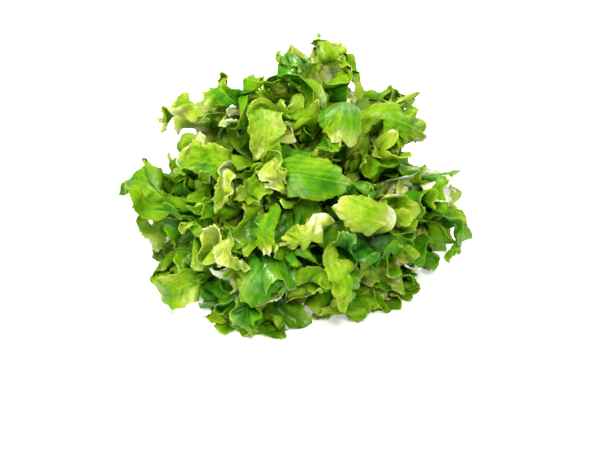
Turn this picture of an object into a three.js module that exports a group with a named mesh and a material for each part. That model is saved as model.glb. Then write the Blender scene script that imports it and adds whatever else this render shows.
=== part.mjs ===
// A head of curly endive, standing on the cut end of its stem.
//
// The head is a rosette: a short solid stem carries every leaf, set in a spiral with the golden
// angle between one leaf and the next. Leaves are numbered from the outside, lowest on the stem, to
// the heart. Each one leaves the stem as a thick narrow rib, widens into a blade, and bends outward
// and down towards its ruffled end.
//
// Shape is worked out in polar form about a centre on the stem's axis: r is the distance from that
// centre and the polar angle is measured from straight up. At any r, an inner leaf has a smaller
// polar angle than an outer one, so the leaves lie in nested layers and never meet. A slow shift of
// the whole head then makes it as irregular as a real one and keeps the layers apart.
//
// Units are millimetres, +Z is up, and the origin is the middle of the cut face under the stem.

import * as THREE from "three";
import { mergeVertices } from "three/addons/utils/BufferGeometryUtils.js";

const { degToRad, lerp, smoothstep } = THREE.MathUtils;

// Stem
const STEM_RADIUS = 22;
const STEM_CUT_RADIUS = 17;
const CENTRE_HEIGHT = 22; // the centre of the polar form, where the stem is thickest
const STEM_CROWN = 12; // how far the growing point stands above a plain dome
const STEM_SIDES = 24;
const STEM_DOME_STEPS = 6;

// Rosette
const OUTER_LEAVES = 18;
const MIDDLE_LEAVES = 24;
const HEART_LEAVES = 14;
const LEAF_COUNT = OUTER_LEAVES + MIDDLE_LEAVES + HEART_LEAVES;
const GOLDEN_ANGLE = Math.PI * (3 - Math.sqrt(5));
const FIRST_AZIMUTH = degToRad(-90);
const HEAD_LEAN = new THREE.Vector2(0.06, 0.04); // sideways shift for each millimetre of height

// The dome that the leaf tips reach: its radius at the foot, and how far it swells above that
const DOME_FOOT = 139;
const DOME_SWELL = 24;
const SWELL_RISE = 0.2; // share of the dome's height in which it swells

// Where groups of longer leaves stand out of the dome, and where shorter ones (a negative by) leave
// it flatter: the way they point, by how much, and the width of the group in radians
const LEAF_GROUPS = [
  { towards: new THREE.Vector3(0.16, 0.45, 0.88), by: 42, width: 0.28 },
  { towards: new THREE.Vector3(-0.91, 0.2, 0.37), by: 22, width: 0.2 },
  { towards: new THREE.Vector3(-0.6, 0.38, 0.7), by: 16, width: 0.16 },
  { towards: new THREE.Vector3(-0.36, 0.43, 0.83), by: 10, width: 0.16 },
  { towards: new THREE.Vector3(0.7, 0.33, 0.62), by: 12, width: 0.2 },
  { towards: new THREE.Vector3(0.69, -0.71, -0.09), by: -20, width: 0.35 },
];

// Irregularity of the whole head: a slow wave and a finer one along each axis. Each wave has a
// height, two rates in radians a millimetre, for the other two axes, and a phase for each axis.
const SLOW_DRIFT = { height: 8, rates: [0.045, 0.03], phases: { x: 1, y: 2.2, z: 3.1 } };
const FINE_DRIFT = { height: 4, rates: [0.085, -0.05], phases: { x: 2, y: 4, z: 0.5 } };
const DRIFT_SETS_IN = [35, 115]; // distances from the centre
const UPWARD_DRIFT_BELOW = 70; // height up to which the drift upward or downward is held back

// Polar angle of a leaf at the stem, half way along and at its tip
const TIP_ANGLE_OUTER = degToRad(97);
const TIP_ANGLE_HEART = degToRad(7);
const BASE_ANGLE_OUTER = degToRad(118);
const BASE_ANGLE_HEART = degToRad(3);
const UPRIGHT_SHARE = [0.86, 0.7]; // the half-way angle as a share of the tip's
const FOOT_CROWDING = 1.35; // above 1, there are more leaf tips towards the foot
const CROWN_CROWDING = 0.9; // below 1, there are more leaf bases towards the stem's crown
const RIB_STRAIGHTENS_IN = 12; // distance in which a rib swings from the stem's side to its course
const BEND_STARTS = 78; // distance from the centre at which leaves begin to bend outward

// Leaf
const TIP_HALF_WIDTH = [36, 26]; // outermost leaf, innermost leaf
const BASE_HALF_WIDTH = [6, 3.5];
const WIDENS_BETWEEN = [0.22, 0.7]; // shares of the length
const NARROWS_BETWEEN = [0.85, 1.1];
const NARROWS_BY = 0.2;
const WIDTH_VARIES = 0.25;
const LENGTH_VARIES = 0.12;
const AIM_VARIES = 0.15; // radians, round the stem
const SWING_VARIES = 0.3; // radians, from the rib's base to its tip
const SWINGS_FROM = 0.35; // share of the length
const WRAP_LIMIT = 1.25; // radians to each side of the rib, at most
const TIP_ROUNDING = 12; // how much shorter a leaf is at its corners than along its rib
const LOBES = 7; // to each side of a leaf
const LOBES_START = 0.4;
const NOTCH_DEPTH = 0.3; // of the half width, for the deepest notch
const NOTCH_EVENNESS = 0.55; // 1 would make every notch equally deep
const BLADE_THICKNESS = 1.1;
const RIB_THICKNESS = [3.4, 1];
const RUFFLE_HEIGHT = 7;
const RUFFLE_GAP_SHARE = 0.25; // of the gap to the next layer that a ruffle may take up
const RUFFLE_WAVES = 1.9; // along each side of a leaf
const RUFFLE_TURN = 2.4; // radians between the ruffles of one leaf and the next
const RUFFLES_SET_IN = [0.3, 0.7]; // shares of the length
const NEIGHBOURS = [3, 5, 8, 13]; // places in the spiral to the leaves that stand closest
const NEIGHBOUR_MARGIN = 0.1; // radians
const LEAST_SHORTENING = 0.01; // share of the length that every leaf falls short of the dome
const STEM_GAP = 2.2; // between the stem and a leaf's base
const TABLE_GAP = 0.3; // between the lowest leaves and the ground
const ROWS = 14; // faces along a leaf
const COLUMNS = 6; // faces across it

// A fixed number from -1 to 1 for each leaf. The salt tells one use from another.
function scatter(leaf, salt) {
  const s = Math.sin(12.9898 * leaf + 78.233 * salt) * 43758.5453;
  return 2 * (s - Math.floor(s)) - 1;
}

const share = (leaf) => leaf / (LEAF_COUNT - 1);
const between = ([outer, heart], leaf) => lerp(outer, heart, share(leaf));

// Distance from the centre to the stem's surface: a dome with a raised crown, on a tapered stump.
function stemRadius(angle) {
  const up = Math.cos(angle);
  if (up > 0) return STEM_RADIUS + STEM_CROWN * up ** 3;
  const taper = (STEM_RADIUS - STEM_CUT_RADIUS) / CENTRE_HEIGHT;
  return STEM_RADIUS / (Math.sin(angle) - taper * up);
}

// Distance from the centre to the dome of leaf tips.
function domeRadius(angle) {
  return DOME_FOOT + DOME_SWELL * (1 - Math.exp(-Math.max(Math.cos(angle), 0) / SWELL_RISE));
}

// The same with the groups of longer and shorter leaves, for tips that point one way.
function tipRadius(angle, azimuth) {
  const side = new THREE.Vector3(Math.cos(azimuth), Math.sin(azimuth), 0);
  const way = side.multiplyScalar(Math.sin(angle)).setZ(Math.cos(angle));
  const extra = LEAF_GROUPS.map(({ towards, by, width }) => {
    return by * Math.exp(-((way.angleTo(towards) / width) ** 2));
  });
  return extra.reduce((sum, more) => sum + more, domeRadius(angle));
}

// Equal steps of height round the dome would give every leaf tip the same area of it.
function tipAngle(leaf) {
  const up = share(leaf) ** FOOT_CROWDING;
  return Math.acos(lerp(Math.cos(TIP_ANGLE_OUTER), Math.cos(TIP_ANGLE_HEART), up));
}

const baseAngle = (leaf) => lerp(BASE_ANGLE_OUTER, BASE_ANGLE_HEART, share(leaf) ** CROWN_CROWDING);

// Polar angle of a leaf's layer at distance r.
function layerAngle(leaf, r) {
  const tip = tipAngle(leaf);
  const upright = tip * between(UPRIGHT_SHARE, leaf);
  const atStem = Math.exp(-(r - STEM_RADIUS) / RIB_STRAIGHTENS_IN);
  const bend = Math.max(0, (r - BEND_STARTS) / (domeRadius(tip) - BEND_STARTS)) ** 2;
  return upright + (baseAngle(leaf) - upright) * Math.min(atStem, 1) + (tip - upright) * bend;
}

// Half the leaf's width at a share of its length, from the stem to the tip.
function halfWidth(leaf, along) {
  const base = between(BASE_HALF_WIDTH, leaf);
  const blade = between(TIP_HALF_WIDTH, leaf) - base;
  const widening = smoothstep(along, ...WIDENS_BETWEEN);
  const rounding = 1 - NARROWS_BY * smoothstep(along, ...NARROWS_BETWEEN);
  return (base + blade * widening * rounding) * (1 + WIDTH_VARIES * scatter(leaf, 4));
}

// Share of the half width that the notches between lobes take away on one side.
function notch(leaf, along, side) {
  if (along < LOBES_START) return 0;
  const varied = (1 - NOTCH_EVENNESS) * scatter(leaf, 20 + side + Math.floor(LOBES * along));
  const depth = NOTCH_DEPTH * (NOTCH_EVENNESS + varied);
  return depth * (0.5 - 0.5 * Math.cos(2 * Math.PI * LOBES * along));
}

// How high the ruffles may be: a share of the gap to the first of the neighbours in the spiral that
// is wide enough to reach this leaf.
function roomForRuffle(leaf, r, halfAngle) {
  const apart = (step) => Math.abs(((step * GOLDEN_ANGLE + Math.PI) % (2 * Math.PI)) - Math.PI);
  const reaches = (step) => apart(step) < 2 * halfAngle + NEIGHBOUR_MARGIN;
  const step = NEIGHBOURS.find(reaches) ?? NEIGHBOURS.at(-1);
  const inner = Math.min(leaf + step, LEAF_COUNT - 1);
  const outer = Math.max(leaf - step, 0);
  const gaps = [
    layerAngle(leaf, r) - layerAngle(inner, r),
    layerAngle(outer, r) - layerAngle(leaf, r),
  ].filter((gap) => gap > 0);
  return r * Math.min(...gaps) * RUFFLE_GAP_SHARE;
}

// A point of the leaf's middle surface: along runs from 0 at the stem to 1 at the tip, and across
// from -1 at one edge to 1 at the other.
function leafPoint(leaf, along, across) {
  const aim = FIRST_AZIMUTH + GOLDEN_ANGLE * leaf + AIM_VARIES * scatter(leaf, 2);
  const start = stemRadius(baseAngle(leaf)) + STEM_GAP;
  const shorter = LEAST_SHORTENING + LENGTH_VARIES * (0.5 + 0.5 * scatter(leaf, 1));
  const length = (1 - shorter) * tipRadius(tipAngle(leaf), aim);
  const r = lerp(start, length - TIP_ROUNDING * across ** 2, along);
  const ribAngle = layerAngle(leaf, r);
  const lobed = 1 - notch(leaf, along, Math.sign(across)) * Math.abs(across);
  const wide = (halfWidth(leaf, along) * lobed) / (r * Math.sin(ribAngle));
  const halfAngle = WRAP_LIMIT * Math.tanh(wide / WRAP_LIMIT);
  const phase = RUFFLE_TURN * leaf + Math.sign(across);
  const wave = Math.sin(2 * Math.PI * RUFFLE_WAVES * along + phase);
  const swell = Math.abs(across) ** 1.5 * smoothstep(along, ...RUFFLES_SET_IN);
  const height = Math.min(RUFFLE_HEIGHT, roomForRuffle(leaf, r, halfAngle)) * wave * swell;
  const angle = ribAngle + height / r;
  const swing = SWING_VARIES * scatter(leaf, 3) * smoothstep(along, SWINGS_FROM, 1);
  const azimuth = aim + swing + across * halfAngle;
  return new THREE.Vector3(
    r * Math.sin(angle) * Math.cos(azimuth),
    r * Math.sin(angle) * Math.sin(azimuth),
    CENTRE_HEIGHT + r * Math.cos(angle),
  );
}

// Half the leaf's thickness: a thin blade, with a rib down the middle that fades towards the tip.
function halfThickness(leaf, along, across) {
  const rib = between(RIB_THICKNESS, leaf) * (1 - along) * (1 - Math.abs(across)) ** 2;
  return (BLADE_THICKNESS + rib) / 2;
}

// Leans the head over and adds its slow irregular shift, which folds nothing.
function lean(point) {
  point.x += HEAD_LEAN.x * point.z;
  point.y += HEAD_LEAN.y * point.z;
  const { x, y, z } = point;
  const wave = ({ height, rates, phases }, axis, a, b) => {
    return height * Math.sin(rates[0] * a + rates[1] * b + phases[axis]);
  };
  const shift = (axis, a, b) => wave(SLOW_DRIFT, axis, a, b) + wave(FINE_DRIFT, axis, b, a);
  const far = smoothstep(Math.hypot(x, y, z - CENTRE_HEIGHT), ...DRIFT_SETS_IN);
  point.x += far * shift("x", y, z);
  point.y += far * shift("y", z, x);
  point.z += far * shift("z", x, y) * smoothstep(z, 0, UPWARD_DRIFT_BELOW);
  return point;
}

// The leaf's upper and lower faces and its rim, as one closed surface.
function leafGeometry(leaf) {
  const columns = COLUMNS + 1;
  const count = (ROWS + 1) * columns;
  const positions = new Float32Array(2 * count * 3);
  const nudge = 1e-3;
  for (let i = 0; i <= ROWS; i++) {
    for (let j = 0; j <= COLUMNS; j++) {
      const along = i / ROWS;
      const across = (2 * j) / COLUMNS - 1;
      const point = leafPoint(leaf, along, across);
      const lengthwise = leafPoint(leaf, along + nudge, across).sub(point);
      const crosswise = leafPoint(leaf, along, across + nudge).sub(point);
      const normal = lengthwise.cross(crosswise).normalize();
      for (const side of [0, 1]) {
        const offset = (side === 0 ? 1 : -1) * halfThickness(leaf, along, across);
        const surface = point.clone().addScaledVector(normal, offset);
        surface.z = Math.max(surface.z, TABLE_GAP + (side === 0 ? 0 : BLADE_THICKNESS));
        lean(surface).toArray(positions, 3 * (side * count + i * columns + j));
      }
    }
  }
  const at = (side, i, j) => side * count + i * columns + j;
  const index = [];
  const quad = (a, b, c, d) => index.push(a, b, c, a, c, d);
  for (let i = 0; i < ROWS; i++) {
    for (let j = 0; j < COLUMNS; j++) {
      quad(at(0, i, j), at(0, i + 1, j), at(0, i + 1, j + 1), at(0, i, j + 1));
      quad(at(1, i, j), at(1, i, j + 1), at(1, i + 1, j + 1), at(1, i + 1, j));
    }
    quad(at(0, i, 0), at(1, i, 0), at(1, i + 1, 0), at(0, i + 1, 0));
    quad(at(0, i, COLUMNS), at(0, i + 1, COLUMNS), at(1, i + 1, COLUMNS), at(1, i, COLUMNS));
  }
  for (let j = 0; j < COLUMNS; j++) {
    quad(at(0, 0, j), at(0, 0, j + 1), at(1, 0, j + 1), at(1, 0, j));
    quad(at(0, ROWS, j), at(1, ROWS, j), at(1, ROWS, j + 1), at(0, ROWS, j + 1));
  }
  const geometry = new THREE.BufferGeometry();
  geometry.setAttribute("position", new THREE.BufferAttribute(positions, 3));
  geometry.setIndex(index);
  geometry.computeVertexNormals();
  return geometry;
}

// The stem: a dome that carries the leaves, on a tapered stump cut off flat.
function stemGeometry() {
  const profile = [];
  for (let i = 0; i <= STEM_DOME_STEPS; i++) {
    const angle = (Math.PI / 2) * (i / STEM_DOME_STEPS);
    const r = stemRadius(angle);
    profile.push(new THREE.Vector2(r * Math.sin(angle), CENTRE_HEIGHT + r * Math.cos(angle)));
  }
  profile.push(new THREE.Vector2(STEM_CUT_RADIUS, 0), new THREE.Vector2(0, 0));
  profile.reverse();
  const geometry = new THREE.LatheGeometry(profile, STEM_SIDES);
  geometry.rotateX(Math.PI / 2);
  const shear = new THREE.Matrix4().makeShear(0, 0, 0, 0, HEAD_LEAN.x, HEAD_LEAN.y);
  geometry.applyMatrix4(shear);
  geometry.deleteAttribute("normal");
  geometry.deleteAttribute("uv");
  const merged = mergeVertices(geometry);
  merged.computeVertexNormals();
  return merged;
}

const finish = (color) => new THREE.MeshStandardMaterial({ color, roughness: 0.45, metalness: 0 });
const MATERIALS = {
  outer: finish(0x5f9a1c),
  middle: finish(0x8cbf26),
  heart: finish(0xc3d655),
  stem: finish(0xe6e8c0),
};

const head = new THREE.Group();

const stem = new THREE.Mesh(stemGeometry(), MATERIALS.stem);
stem.name = "stem";
head.add(stem);

const RINGS = [
  ["outer", OUTER_LEAVES],
  ["middle", MIDDLE_LEAVES],
  ["heart", HEART_LEAVES],
];
let leaf = 0;
for (const [ring, count] of RINGS) {
  for (let n = 1; n <= count; n++) {
    const mesh = new THREE.Mesh(leafGeometry(leaf), MATERIALS[ring]);
    mesh.name = `${ring}_leaf_${String(n).padStart(2, "0")}`;
    head.add(mesh);
    leaf += 1;
  }
}

export default head;
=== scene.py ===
"""The looks of a head of curly endive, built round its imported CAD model.

Every leaf starts as a smooth sheet in its own layer of the rosette, laid out as in the CAD model.
Its margins then grow longer than its rib, as on the plant, and a small cloth-like solver lets the
sheets buckle into ruffles and push each other apart. Each sheet is then resampled finely, gets a
frilled and toothed margin and a thickness, and stands in for a CAD leaf or lies between two of
them. Further leaves, placed one by one, lie over the front. Many leaves still cut through others.

Lengths are in millimetres until a mesh is made, and the frame is the CAD model's. Polar angles are
measured from straight up, about a centre on the stem's axis.
"""

import math

import bpy
import numpy as np
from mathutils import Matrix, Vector


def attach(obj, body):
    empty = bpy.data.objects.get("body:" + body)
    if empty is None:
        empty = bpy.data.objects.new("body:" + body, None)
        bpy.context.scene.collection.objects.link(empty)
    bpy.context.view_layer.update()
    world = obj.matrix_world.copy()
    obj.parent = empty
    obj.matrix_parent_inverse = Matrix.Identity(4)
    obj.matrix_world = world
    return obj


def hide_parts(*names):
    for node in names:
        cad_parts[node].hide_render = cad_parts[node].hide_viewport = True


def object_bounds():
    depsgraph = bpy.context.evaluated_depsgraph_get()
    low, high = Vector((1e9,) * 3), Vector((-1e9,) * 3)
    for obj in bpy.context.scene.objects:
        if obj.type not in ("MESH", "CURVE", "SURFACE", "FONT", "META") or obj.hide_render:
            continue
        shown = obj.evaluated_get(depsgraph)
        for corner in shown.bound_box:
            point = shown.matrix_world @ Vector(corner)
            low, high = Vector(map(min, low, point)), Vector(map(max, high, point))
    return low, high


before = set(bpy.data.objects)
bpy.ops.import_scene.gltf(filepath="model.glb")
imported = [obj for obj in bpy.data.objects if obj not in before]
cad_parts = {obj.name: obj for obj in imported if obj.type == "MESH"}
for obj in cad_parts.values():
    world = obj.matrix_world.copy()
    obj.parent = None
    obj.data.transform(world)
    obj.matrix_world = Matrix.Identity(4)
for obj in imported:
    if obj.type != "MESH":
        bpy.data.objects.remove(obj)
cad_low, cad_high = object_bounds()

MM = 0.001
RNG, TEETH, TONES = (np.random.default_rng(seed) for seed in (11, 12, 13))

# ---- layout of the rosette
# As in the CAD model, in a smaller dome and with its longest leaves standing out less, because the
# leaves spread as they grow. Pairs of angles or shares are for the outermost and innermost leaf.
STEM_RADIUS, STEM_CUT_RADIUS, STEM_CROWN = 22.0, 17.0, 12.0
CENTRE_HEIGHT = 22.0
CENTRE = np.array([0, 0, CENTRE_HEIGHT])
RINGS = (("outer", 18), ("middle", 24), ("heart", 14))
LEAF_COUNT = sum(count for _, count in RINGS)
GOLDEN_ANGLE = math.pi * (3 - math.sqrt(5))
FIRST_AZIMUTH = math.radians(-90)
HEAD_LEAN = (0.06, 0.04)  # sideways shift for each millimetre of height
DOME_FOOT, DOME_SWELL, SWELL_RISE = 133.0, 28.0, 0.2
TIP_ANGLES = (math.radians(97), math.radians(7))
BASE_ANGLES = (math.radians(118), math.radians(3))
UPRIGHT_SHARE = (0.86, 0.7)  # the half-way angle as a share of the tip's
FOOT_CROWDING, CROWN_CROWDING = 1.35, 0.9
RIB_STRAIGHTENS_IN, BEND_STARTS = 12.0, 78.0
# Groups of longer leaves, and one of shorter ones: the way they point, how far they stand out of
# the dome, and the group's width in radians
LEAF_GROUPS = (
    ((0.16, 0.45, 0.88), 30, 0.28),
    ((-0.91, 0.2, 0.37), 22, 0.2),
    ((-0.6, 0.38, 0.7), 16, 0.16),
    ((-0.36, 0.43, 0.83), 10, 0.16),
    ((0.7, 0.33, 0.62), 12, 0.2),
    ((0.69, -0.71, -0.09), -20, 0.35),
)
# Irregularity of the head: a slow and a finer wave along each axis. Each has a height, rates in
# radians a millimetre for the other two axes, and a phase for each axis.
SLOW_DRIFT = (8, (0.045, 0.03), (1.0, 2.2, 3.1))
FINE_DRIFT = (4, (-0.05, 0.085), (2.0, 4.0, 0.5))
DRIFT_SETS_IN = (35, 115)  # distances from the centre
UPWARD_DRIFT_BELOW = 70  # height up to which the drift upward or downward is held back

# ---- one leaf's smooth sheet
ROWS, COLUMNS = 46, 26  # cells along the leaf and across it
ALONG, ACROSS = np.linspace(0, 1, ROWS + 1)[:, None], np.linspace(-1, 1, COLUMNS + 1)
# Half widths of the outermost and the innermost leaf
TIP_HALF_WIDTH, BASE_HALF_WIDTH = (36.0, 26.0), (6.0, 3.5)
WIDENS_BETWEEN, NARROWS_BETWEEN, NARROWS_BY = (0.22, 0.7), (0.85, 1.1), 0.2
WIDTH_VARIES, LENGTH_VARIES, AIM_VARIES, SWING_VARIES = 0.25, 0.12, 0.15, 0.3
SWINGS_FROM = 0.35  # share of the length
LEAST_SHORTENING, INNER_SHORTENING = 0.01, 0.07  # shares of the length
LEAF_WIDTH_SHARE, INNER_WIDTH_SHARE = 0.92, 0.8
WRAP_LIMIT, TIP_ROUNDING = 1.25, 12.0
STEM_GAP, GROUND_GAP = 2.2, 1.2
# Notches in each side: places and half length as shares of the length, depth as one of half width
NOTCHES, NOTCHED_BETWEEN, NOTCH_SHIFT, NOTCH_HALF = 6, (0.42, 0.93), 0.045, 0.055
NOTCH_DEPTHS, NOTCH_POWER = (0.1, 0.6), 0.8
# Notches in the end: places and half width as shares of the half width, depth as one of the length
END_NOTCHES, END_NOTCH_SHIFT, END_NOTCH_HALF = (-0.5, 0.0, 0.5), 0.15, 0.2
END_NOTCH_DEPTHS, END_CUT_BETWEEN = (0.0, 0.15), (0.6, 1)
# Coarse waves up and down along the sides
WAVE_HEIGHT, WAVE_COUNTS, WAVES_SET_IN, SIDES_APART = 2.5, (1.5, 3.0), (0.25, 0.6), 1.5

# ---- growth
EDGE_GROWTH, EDGE_ZONE = 1.1, 10.0  # the margin's, as a share of its length, and how far in it fades
# The pushes that start ruffles and folds, in millimetres a step, with their wavelengths
RUFFLE_LENGTHS, RUFFLE_PUSH, RUFFLE_ZONE = (11.0, 19.0), 0.9, 8.0
RUFFLES_WANDER_BY, RUFFLES_WANDER_OVER = 5, 17
FOLD_LENGTHS, FOLD_WAVES, FOLD_PUSH, CURL_SHARE = (26, 56), 3, 0.75, 0.8
# Shares of the length between which a sheet comes free of the stem, and growth, folds and curl set in
FREED_BETWEEN, BLADE_BETWEEN, FOLDS_BETWEEN, CURLS_BETWEEN = (0.06, 0.25), (0.2, 0.45), (0.3, 0.75), (0.5, 1)
STEPS, ROUNDS = 80, 7
GROWN_AFTER, PUSH_FADES_BETWEEN = 0.7, (0.3, 0.6)  # shares of the steps
CONTACT = 2.6  # points closer than this push each other apart, though sheets can still cross
CONTACT_SEARCH = 1.35  # how much further to look for points that may come as close soon
SAME_PLACE = 3  # rows or columns within which points of one leaf leave each other alone
RELAXATION, DRAG, TOP_SPEED, LEAVES_AT_ONCE, TINY = 0.27, 0.8, 1.5, 15, 1e-6
# Share of the way back to the smooth sheet in each round: everywhere, at the rib, and at the base
HOLD, RIB_HOLD, BASE_HOLD = 0.001, 0.05, 0.004
RIB_HELD_UP_TO, BASE_HELD_UP_TO = (0.3, 0.8), (0.4, 0.9)  # shares of the length, where it fades
# The same for front leaves: everywhere, more where they ruffle less, and at the rib
FRONT_HOLD, FLAT_FRONT_HOLD, FRONT_RIB_HOLD = 0.0008, 0.02, 0.03
FRONT_RIB_FREED = (0, 0.3)  # shares of the length from the tip, where that at the rib sets in
DROOP, OUTER_DROOP = 0.05, 0.3  # sinking in each step, and how much more for the outermost leaf
ROOM_ROUND_CAD, ROOM_FLOOR = 4, 1.0
RIM_FROM = 4  # row at which the margin begins

# ---- the fine mesh of a leaf
FINE_ROWS, FINE_COLUMNS = 55, 32
FINER_TIP, FINER_SIDES = 0.35, 0.35
FRILL_HEIGHT, FRILL_LENGTH, FRILL_ZONE, FRILLED_BETWEEN = 1.2, 7.5, 3.0, (0.25, 0.5)
FRILLS_WANDER_BY, FRILLS_WANDER_OVER, FRILL_PHASE = 3, 11, 9
UPPER_THICKNESS, LOWER_THICKNESS = 0.22, 0.25  # to each side of the sheet
RIB_DEPTH, RIB_WIDTH = 1.4, 4.0
TOOTH_SHAPE, TOOTH_SCALE, TOOTH_HEIGHTS, TOOTH_LEANS = 0.8, 1.1, (0.1, 3.0), (0.3, 0.7)
TOOTHED_BETWEEN, PLAIN_TEETH = (0.1, 0.35), 0.4  # PLAIN_TEETH is what a leaf without ruffles keeps
LOWEST = 0.2

# ---- the leaves over the front
VIEW_ANGLE = math.radians(28)  # how far the camera looks down
VIEW_RIGHT = np.array([1, 0, 0])
VIEW_UP = np.array([0, math.sin(VIEW_ANGLE), math.cos(VIEW_ANGLE)])
VIEW_NEAR = np.array([0, -math.cos(VIEW_ANGLE), math.sin(VIEW_ANGLE)])
# Leaves over the front, roughly facing the camera. Each one: its middle across and up the camera's
# view from the base, how far its middle is from the centre, the way its tip points from the right
# and its roll to one side in degrees, how far its sides cup forwards, half width, length of the part
# that shows, how much it ruffles, and tone
FRONT_LEAVES = (
    (39, 124, 149, -100, 10, -9, 18, 42, 0.08, 0.28),
    (-22, 113, 148, -88, -18, 6, 14, 50, 0.35, 0.44),
    (18, 72, 152, -8, 8, -9, 17, 58, 0.05, 0.15),
    (56, 41, 149, 163, -25, -8, 15, 50, 0.05, 0.46),
    (-30, -9, 141, -125, 15, -9, 17, 42, 0.12, 0.07),
    (-131, 72, 146, 160, 20, 8, 16, 44, 0.8, 0.4),
    (136, 30, 146, -75, -30, 7, 13, 38, 0.6, 0.28),
    (-36, -38, 131, -95, 10, 9, 11, 28, 0.5, 0.16),
    (-98, -17, 132, 195, -20, 6, 15, 42, 0.25, 0.36),
    (-90, 134, 156, 172, 30, 7, 13, 42, 0.8, 0.52),
    (24, 184, 170, 80, -25, 9, 14, 28, 1.0, 0.5),
    (2, 172, 164, 110, 20, 7, 13, 28, 1.0, 0.26),
    (46, 170, 166, 50, -20, 7, 13, 28, 1.0, 0.34),
    (93, 119, 150, -8, 30, -6, 13, 44, 0.4, 0.4),
    (45, -12, 139, -84, -30, -8, 12, 40, 0.5, 0.34),
    (-12, 76, 142, -60, 25, 7, 10, 30, 0.6, 0.5),
    (-30, 66, 140, -140, -25, 7, 9, 28, 0.6, 0.41),
    (-76, 86, 146, 176, 20, 7, 14, 42, 0.5, 0.34),
    (-55, 66, 144, -98, -30, 5, 6, 36, 0.3, 0.52),
    (-24, 30, 147, -95, 25, -6, 9, 36, 0.2, 0.3),
    (11, 25, 146, -158, -30, -7, 10, 36, 0.4, 0.46),
    (-49, 12, 143, -66, 25, 6, 9, 30, 0.5, 0.5),
    (-58, 146, 160, 130, -20, 7, 12, 30, 0.8, 0.2),
    (-36, 150, 160, 85, 20, 7, 12, 28, 0.9, 0.4),
    (122, 66, 145, -12, 15, 6, 11, 30, 0.7, 0.85),
)
FRONT = slice(-len(FRONT_LEAVES), None)  # they come last among the leaves
FRONT_RUFFLES = np.array([front[-2] for front in FRONT_LEAVES])[:, None, None]
LEAST_DEPTH = 15  # of its middle, from the centre towards the camera
FACES_CAMERA = 0.8  # how far it turns to the camera from straight away from the centre
# Its rib: distance of its base from the centre, how far its middle bulges and its ends fall back,
# where shoulder and tip lie as shares of the length shown, and the knots of its course
RIB_STARTS, RIB_BULGE, ENDS_FALL_BACK = 26, 3, 9
SHOULDER_SHARE, TIP_SHARE = 0.5, 0.48
KNOTS_AT, SMOOTHINGS = (0, 0.3, 0.58, 0.78, 1.0), 14
SLIGHT_TURN = 0.001
# Its outline: half width at the base, waves and a notch in each side, and waves in the end
FRONT_BASE_HALF_WIDTH = 4
FRONT_WIDENS, FRONT_NARROWS, FRONT_NARROWS_BY = (0.35, 0.62), (0.82, 1.12), 0.45
SIDE_WAVES, SIDE_WAVE_DEPTH = (12, 31, 53), 0.035
FRONT_NOTCH_AT, FRONT_NOTCH_DEPTH, FRONT_NOTCH_HALF = (0.6, 0.95), 0.24, 0.03
END_ROUNDINGS, END_SLANTS, END_WAVE_DEPTH, END_WAVES = (4, 13), (-2, 4), 2, (5, 9)
END_STARTS, FRONT_GROUND_GAP = 0.8, 1.5
ANY_PHASE = (0, 6.3)


def scatter(leaf, salt):
    """A fixed number from -1 to 1 for each leaf, the same in the CAD model."""
    s = np.sin(12.9898 * leaf + 78.233 * salt) * 43758.5453
    return 2 * (s - np.floor(s)) - 1


def smoothstep(x, low, high):
    t = np.clip((x - low) / (high - low), 0, 1)
    return t * t * (3 - 2 * t)


def lerp(pair, share):
    return pair[0] + (pair[1] - pair[0]) * share


def unit(v):
    return v / (np.linalg.norm(v, axis=-1, keepdims=True) + 1e-9)


def stem_radius(angle):
    """Distance from the centre to the stem's surface, a tapered stump with a domed crown."""
    up = np.cos(angle)
    taper = (STEM_RADIUS - STEM_CUT_RADIUS) / CENTRE_HEIGHT
    dome = STEM_RADIUS + STEM_CROWN * np.maximum(up, 0) ** 3
    return np.where(up > 0, dome, STEM_RADIUS / (np.sin(angle) - taper * np.minimum(up, 0)))


def dome_radius(angle):
    """Distance from the centre to the dome that the leaf tips reach."""
    return DOME_FOOT + DOME_SWELL * (1 - np.exp(-np.maximum(np.cos(angle), 0) / SWELL_RISE))


def reach(angle, azimuth):
    """Distance from the centre to the tips of the leaves that point this way."""
    way = np.stack([np.sin(angle) * np.cos(azimuth), np.sin(angle) * np.sin(azimuth), np.cos(angle)], -1)
    radius = dome_radius(angle)
    for towards, height, width in LEAF_GROUPS:
        towards = np.array(towards) / np.linalg.norm(towards)
        off = np.arccos(np.clip((way * towards).sum(-1), -1, 1))
        radius = radius + height * np.exp(-((off / width) ** 2))
    return radius


def aim_of(leaf):
    """The way a leaf points, as an angle round the axis."""
    return FIRST_AZIMUTH + GOLDEN_ANGLE * leaf + AIM_VARIES * scatter(leaf, 2)


def tip_angle(share):
    """Polar angle of a leaf's tip, where share runs from 0 for the outermost leaf to 1."""
    return np.arccos(lerp(np.cos(TIP_ANGLES), share**FOOT_CROWDING))


def base_angle(share):
    """Polar angle at which a leaf leaves the stem."""
    return lerp(BASE_ANGLES, share**CROWN_CROWDING)


def layer_angle(share, r):
    """Polar angle of a leaf's layer at the distance r from the centre."""
    tip = tip_angle(share)
    upright = tip * lerp(UPRIGHT_SHARE, share)
    at_stem = np.minimum(np.exp(-(r - STEM_RADIUS) / RIB_STRAIGHTENS_IN), 1)
    bend = np.maximum(0, (r - BEND_STARTS) / (dome_radius(tip) - BEND_STARTS)) ** 2
    return upright + (base_angle(share) - upright) * at_stem + (tip - upright) * bend


def half_width(share):
    """Half a leaf's width in each row."""
    base = lerp(BASE_HALF_WIDTH, share)
    blade = lerp(TIP_HALF_WIDTH, share) - base
    narrowing = 1 - NARROWS_BY * smoothstep(ALONG, *NARROWS_BETWEEN)
    return base + blade * smoothstep(ALONG, *WIDENS_BETWEEN) * narrowing


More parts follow.
